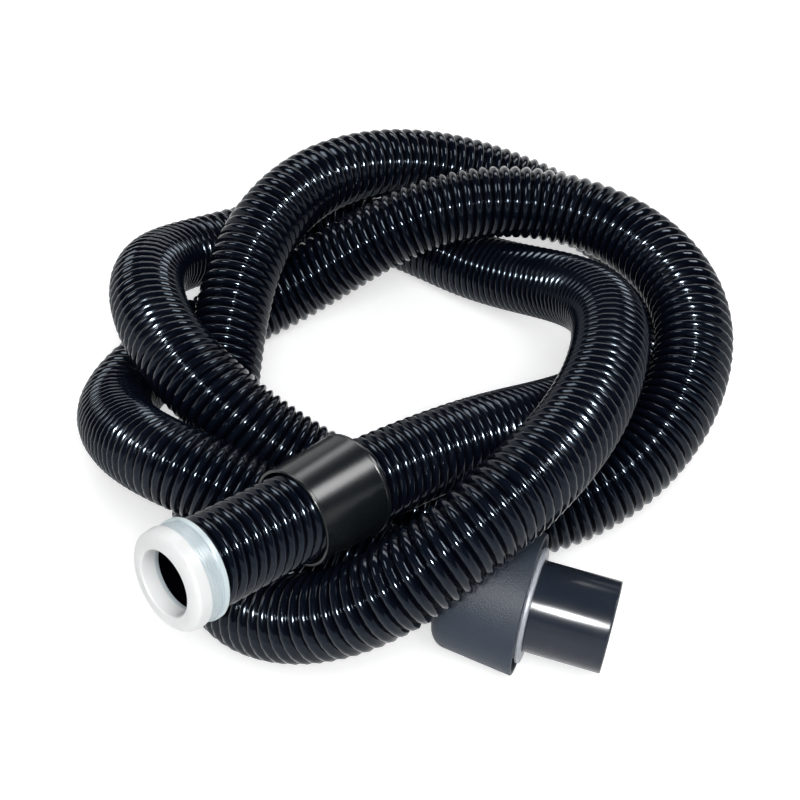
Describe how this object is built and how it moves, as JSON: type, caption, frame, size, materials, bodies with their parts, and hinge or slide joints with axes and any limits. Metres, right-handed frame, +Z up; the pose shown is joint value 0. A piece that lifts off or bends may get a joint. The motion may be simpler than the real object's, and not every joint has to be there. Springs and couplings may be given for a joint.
{
  "type": "vacuum cleaner hose",
  "caption": "Ribbed black suction hose lying in loose loops, with a white screwed end ring, a loose sleeve and a swivelling bell connector with a stub pipe.",
  "frame": {"origin": "point on the floor below the middle of the hose's loops", "axes": "+Z up from the floor the hose lies on; +X to the side the stub pipe points to; the two ends lie on the -Y side"},
  "size_m": [0.3254, 0.3852, 0.1202],
  "materials": {
    "hose_plastic": "glossy black",
    "ring_plastic": "smooth white, slightly translucent",
    "sleeve_plastic": "polished black",
    "bell_plastic": "fine matt texture, dark blue-grey",
    "stub_plastic": "glossy dark grey",
    "light_plastic": "smooth light grey",
    "inner_plastic": "plain dark grey",
    "slide_plastic": "natural white bearing plastic"
  },
  "bodies": {
    "hose": {"corrugated_hose": "hose_plastic", "hose_end_ring": "ring_plastic", "hose_collar": "inner_plastic"},
    "connector": {"bell_housing": "bell_plastic", "stub_pipe": "stub_plastic", "light_ring": "light_plastic", "retaining_clip": "inner_plastic", "thrust_washer": "slide_plastic"},
    "sleeve": {"sliding_sleeve": "sleeve_plastic"}
  },
  "joints": [
    {"name": "connector_swivel", "type": "hinge", "parent": "hose", "child": "connector", "pos_m": [0.046, -0.157, 0.0325], "axis": [0.9484, -0.3161, -0.0263], "continuous": true},
    {"name": "sleeve_slide", "type": "slide", "parent": "hose", "child": "sleeve", "axis": [-0.6873, -0.6873, 0.2351], "range_m": [0, 0.048]}
  ]
}
